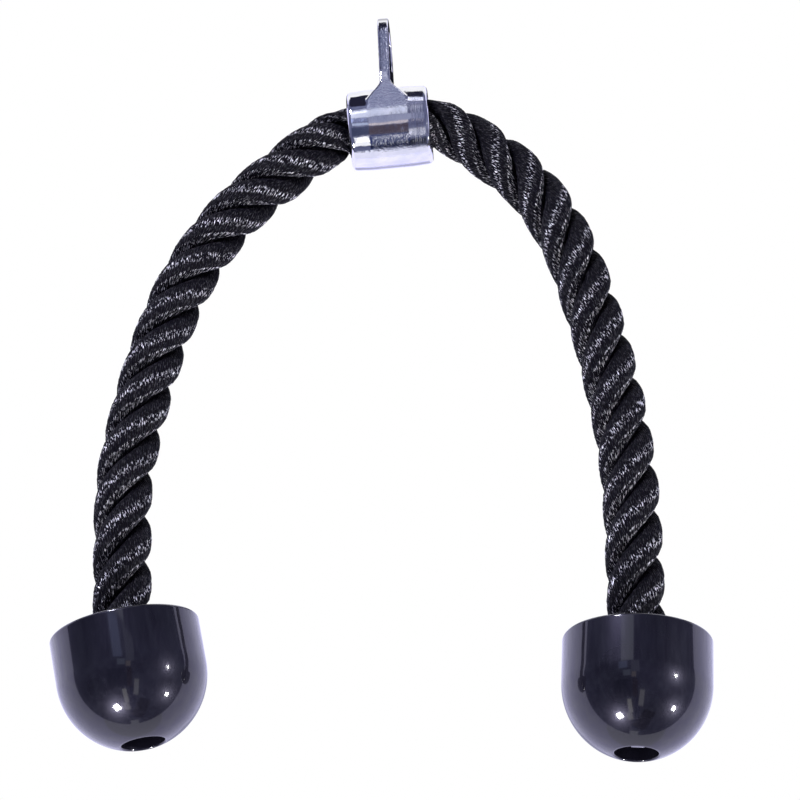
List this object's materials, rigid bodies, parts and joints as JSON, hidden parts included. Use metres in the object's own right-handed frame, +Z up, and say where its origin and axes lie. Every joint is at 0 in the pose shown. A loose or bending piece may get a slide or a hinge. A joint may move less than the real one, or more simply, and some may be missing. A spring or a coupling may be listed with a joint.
{
  "type": "triceps rope attachment",
  "caption": "Pull-down rope for a cable machine: a thick laid black rope through a chromed eye collar, hanging in an arch, with a domed black stop cap on each end.",
  "frame": {"origin": "centre of the eye's hole, where the machine's carabiner holds the attachment", "axes": "+Z up as it hangs, +X towards the cap on the viewer's right, -Y towards the viewer; the rope's arch lies in the XZ plane"},
  "size_m": [0.3363, 0.0764, 0.4359],
  "materials": {
    "chromed_steel": "polished",
    "black_yarn": "satin",
    "black_cap": "gloss",
    "zinc_plated_steel": "satin"
  },
  "bodies": {
    "collar": {"eye_collar": "chromed_steel", "collar_strand_1": "black_yarn", "collar_strand_2": "black_yarn", "collar_strand_3": "black_yarn"},
    "left_upper": {"left_upper_strand_1": "black_yarn", "left_upper_strand_2": "black_yarn", "left_upper_strand_3": "black_yarn"},
    "left_lower": {"left_lower_strand_1": "black_yarn", "left_lower_strand_2": "black_yarn", "left_lower_strand_3": "black_yarn", "left_ferrule": "zinc_plated_steel", "left_end_cap": "black_cap"},
    "right_upper": {"right_upper_strand_1": "black_yarn", "right_upper_strand_2": "black_yarn", "right_upper_strand_3": "black_yarn"},
    "right_lower": {"right_lower_strand_1": "black_yarn", "right_lower_strand_2": "black_yarn", "right_lower_strand_3": "black_yarn", "right_ferrule": "zinc_plated_steel", "right_end_cap": "black_cap"}
  },
  "joints": [
    {"name": "left_swing", "type": "hinge", "parent": "collar", "child": "left_upper", "pos_m": [0.00335, 0, -0.05039], "axis": [0.9978, 0, 0.0663], "range_deg": [-30, 30], "stiffness_Nm_per_rad": 0.4, "deforming": ["left_upper_strand_1", "left_upper_strand_2", "left_upper_strand_3"]},
    {"name": "left_spread", "type": "hinge", "parent": "left_upper", "child": "left_lower", "pos_m": [-0.05109, 0, -0.07513], "axis": [0, 1, 0], "range_deg": [-15, 40], "stiffness_Nm_per_rad": 2, "springref_deg": 5.67, "deforming": ["left_lower_strand_1", "left_lower_strand_2", "left_lower_strand_3"]},
    {"name": "right_swing", "type": "hinge", "parent": "collar", "child": "right_upper", "pos_m": [0.00335, 0, -0.05039], "axis": [0.9978, 0, 0.0663], "range_deg": [-30, 30], "stiffness_Nm_per_rad": 0.4, "deforming": ["right_upper_strand_1", "right_upper_strand_2", "right_upper_strand_3"]},
    {"name": "right_spread", "type": "hinge", "parent": "right_upper", "child": "right_lower", "pos_m": [0.0599, 0, -0.06792], "axis": [0, -1, 0], "range_deg": [-15, 40], "stiffness_Nm_per_rad": 2, "springref_deg": 5.12, "deforming": ["right_lower_strand_1", "right_lower_strand_2", "right_lower_strand_3"]}
  ]
}
